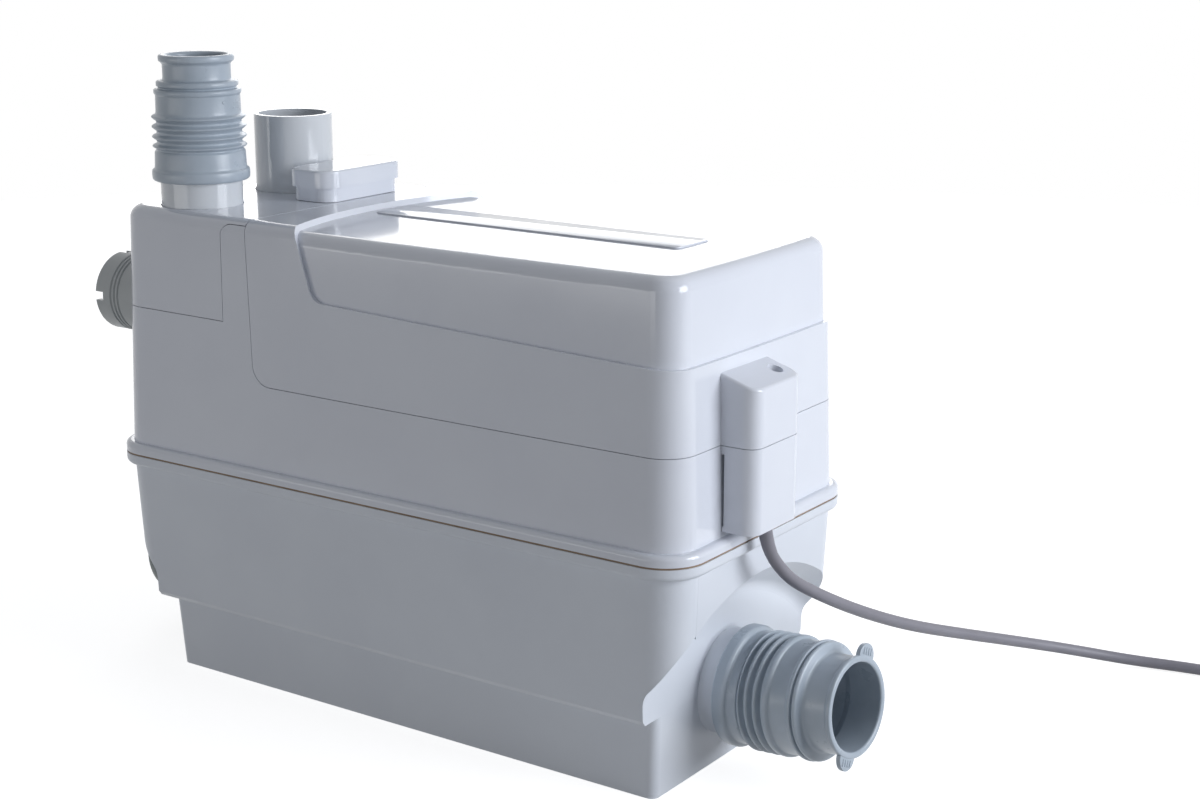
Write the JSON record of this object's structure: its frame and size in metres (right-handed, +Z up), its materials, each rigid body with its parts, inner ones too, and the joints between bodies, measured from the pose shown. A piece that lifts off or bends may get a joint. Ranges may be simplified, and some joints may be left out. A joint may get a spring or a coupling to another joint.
{
  "type": "sewage lifting station",
  "caption": "Compact floor-standing lifting station for waste water: moulded tank, gloss housing with lift-off cover, low side inlets and a ribbed rubber discharge sleeve on top.",
  "frame": {"origin": "on the underside of the foot, below the middle of the flange", "axes": "+X along the length towards the end with the mains cord, -Y to the long front side with the discharge, +Z up"},
  "size_m": [0.9183, 0.3882, 0.394],
  "materials": {
    "tank": "satin moulded polypropylene",
    "housing": "glossy moulded plastic",
    "rubber": "grey-blue rubber",
    "dark_rubber": "dark grey rubber",
    "seal": "brownish sealing strip",
    "white_pipe": "white pipe plastic",
    "port": "grey moulded plastic",
    "vent_plastic": "light grey plastic",
    "carbon": "activated carbon fleece",
    "flap_rubber": "black rubber",
    "stainless": "stainless steel",
    "motor_metal": "die-cast aluminium",
    "core": "laminated steel",
    "copper": "enamelled copper wire",
    "pump_plastic": "black glass-filled plastic",
    "electric_box": "dark grey plastic",
    "board": "green circuit board",
    "capacitor": "white plastic case",
    "cord": "grey cord sheath",
    "plug": "grey plug body",
    "pins": "nickel-plated brass"
  },
  "bodies": {
    "station": {"tank": "tank", "seam_seal": "seal", "upper_housing": "housing", "discharge_cover": "housing", "cord_cover": "housing", "discharge_connector": "rubber", "valve_body": "white_pipe", "side_port": "port", "valve_pin": "stainless", "discharge_riser": "pump_plastic", "inlet_connector": "rubber", "inlet_cap": "dark_rubber", "right_flap_pin": "stainless", "left_flap_pin": "stainless", "top_inlet_pipe": "white_pipe", "filter_tray": "vent_plastic", "carbon_filter": "carbon", "vent_pipe": "pump_plastic", "motor_plate": "motor_metal", "plate_seal": "flap_rubber", "plate_screws": "stainless", "motor_housing": "motor_metal", "motor_cap": "motor_metal", "cap_screws": "stainless", "stator": "core", "windings": "copper", "lower_bearing_outer": "stainless", "upper_bearing_outer": "stainless", "shaft_seal": "flap_rubber", "pump_column": "pump_plastic", "pump_casing": "pump_plastic", "suction_cover": "pump_plastic", "casing_screws": "stainless", "level_tube": "pump_plastic", "pressure_switch": "electric_box", "control_box": "electric_box", "control_board": "board", "run_capacitor": "capacitor", "capacitor_clip": "electric_box", "cord_gland": "flap_rubber", "cord_clamp": "electric_box", "clamp_screws": "stainless", "power_cord": "cord", "cord_coil": "cord", "cord_tail": "cord", "power_plug": "plug", "plug_pins": "pins"},
    "rotor": {"rotor": "core", "motor_shaft": "stainless", "lower_bearing_inner": "stainless", "upper_bearing_inner": "stainless", "impeller": "pump_plastic", "impeller_nut": "stainless"},
    "valve_flap": {"valve_flap": "flap_rubber"},
    "right_inlet_flap": {"right_inlet_flap": "flap_rubber"},
    "left_inlet_flap": {"left_inlet_flap": "flap_rubber"},
    "access_cover": {"access_cover": "housing", "cover_screw": "stainless"},
    "filter_lid": {"filter_lid": "vent_plastic"}
  },
  "joints": [
    {"name": "rotor_spin", "type": "hinge", "parent": "station", "child": "rotor", "pos_m": [0.07, -0.012, 0.2], "axis": [0, 0, 1], "continuous": true},
    {"name": "valve_flap_swing", "type": "hinge", "parent": "station", "child": "valve_flap", "pos_m": [-0.1469, -0.054, 0.19635], "axis": [0, 1, 0], "range_deg": [0, 70]},
    {"name": "right_flap_swing", "type": "hinge", "parent": "station", "child": "right_inlet_flap", "pos_m": [0.1796, 0, 0.0835], "axis": [0, 1, 0], "range_deg": [0, 60]},
    {"name": "left_flap_swing", "type": "hinge", "parent": "station", "child": "left_inlet_flap", "pos_m": [-0.1796, 0, 0.0835], "axis": [0, -1, 0], "range_deg": [0, 60]},
    {"name": "cover_lift", "type": "slide", "parent": "station", "child": "access_cover", "axis": [0, 0, 1], "range_m": [0, 0.12]},
    {"name": "lid_lift", "type": "slide", "parent": "station", "child": "filter_lid", "axis": [0, 0, 1], "range_m": [0, 0.04]}
  ]
}
